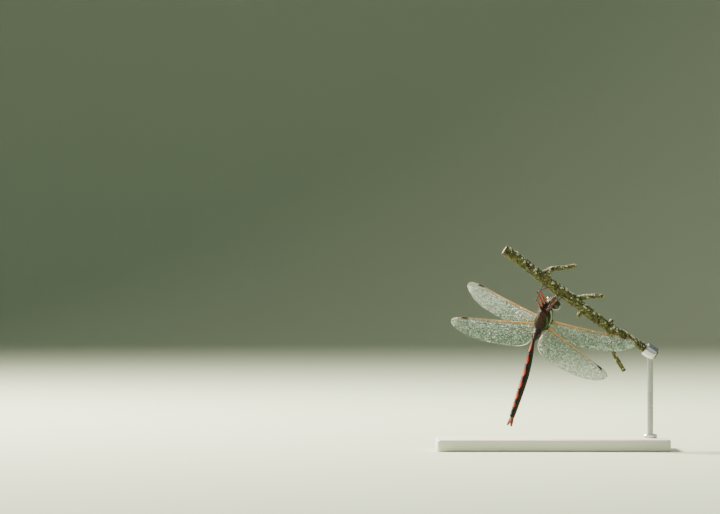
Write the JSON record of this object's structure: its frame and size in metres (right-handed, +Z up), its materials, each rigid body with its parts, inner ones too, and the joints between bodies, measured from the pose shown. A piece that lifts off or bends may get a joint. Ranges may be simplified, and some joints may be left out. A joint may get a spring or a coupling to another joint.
{
  "type": "dragonfly display model",
  "caption": "Life-size hawker dragonfly hanging head up from a cut lichened twig, wings spread, on a plain rod and flat base.",
  "frame": {"origin": "centre of the underside of the stand's base, on the surface it stands on", "axes": "+Z up; +X along the base's long side, towards the rod, so that the view along +Y shows the insect's underside and left side; +Y towards the insect's back"},
  "size_m": [0.116, 0.062, 0.1022],
  "materials": {
    "eye": "glossy dark green-brown compound eye",
    "head": "satin olive-brown cuticle",
    "thorax": "dark brown cuticle with green and pale stripes and fine hair",
    "abdomen": "satin blackish cuticle with orange patches below",
    "wing": "clear wing membrane with dark veins and an amber leading edge",
    "leg": "glossy red-brown to black spiny cuticle",
    "bark": "rough grey-brown bark with pale lichen",
    "stand_wood": "pale satin-painted board",
    "stand_metal": "brushed stainless steel"
  },
  "bodies": {
    "root": {"abdomen_01": "abdomen", "abdomen_02": "abdomen", "abdomen_03": "abdomen", "abdomen_04": "abdomen", "abdomen_05": "abdomen", "abdomen_06": "abdomen", "abdomen_07": "abdomen", "abdomen_08": "abdomen", "abdomen_09": "abdomen", "abdomen_10": "abdomen", "antenna_left": "leg", "antenna_right": "leg", "cercus_left": "abdomen", "cercus_right": "abdomen", "epiproct": "abdomen", "eye_left": "eye", "eye_right": "eye", "face": "head", "femur_fore_left": "leg", "femur_fore_right": "leg", "femur_hind_left": "leg", "femur_hind_right": "leg", "femur_mid_left": "leg", "femur_mid_right": "leg", "forewing_left": "wing", "forewing_right": "wing", "head": "head", "hindwing_left": "wing", "hindwing_right": "wing", "mouthparts": "head", "perch_shoot_1": "bark", "perch_shoot_2": "bark", "perch_shoot_3": "bark", "perch_shoot_4": "bark", "perch_shoot_5": "bark", "perch_twig": "bark", "prothorax": "thorax", "stand_base": "stand_wood", "stand_collar": "stand_metal", "stand_rod": "stand_metal", "tarsus_fore_left": "leg", "tarsus_fore_right": "leg", "tarsus_hind_left": "leg", "tarsus_hind_right": "leg", "tarsus_mid_left": "leg", "tarsus_mid_right": "leg", "thorax": "thorax", "tibia_fore_left": "leg", "tibia_fore_right": "leg", "tibia_hind_left": "leg", "tibia_hind_right": "leg", "tibia_mid_left": "leg", "tibia_mid_right": "leg"}
  },
  "joints": []
}
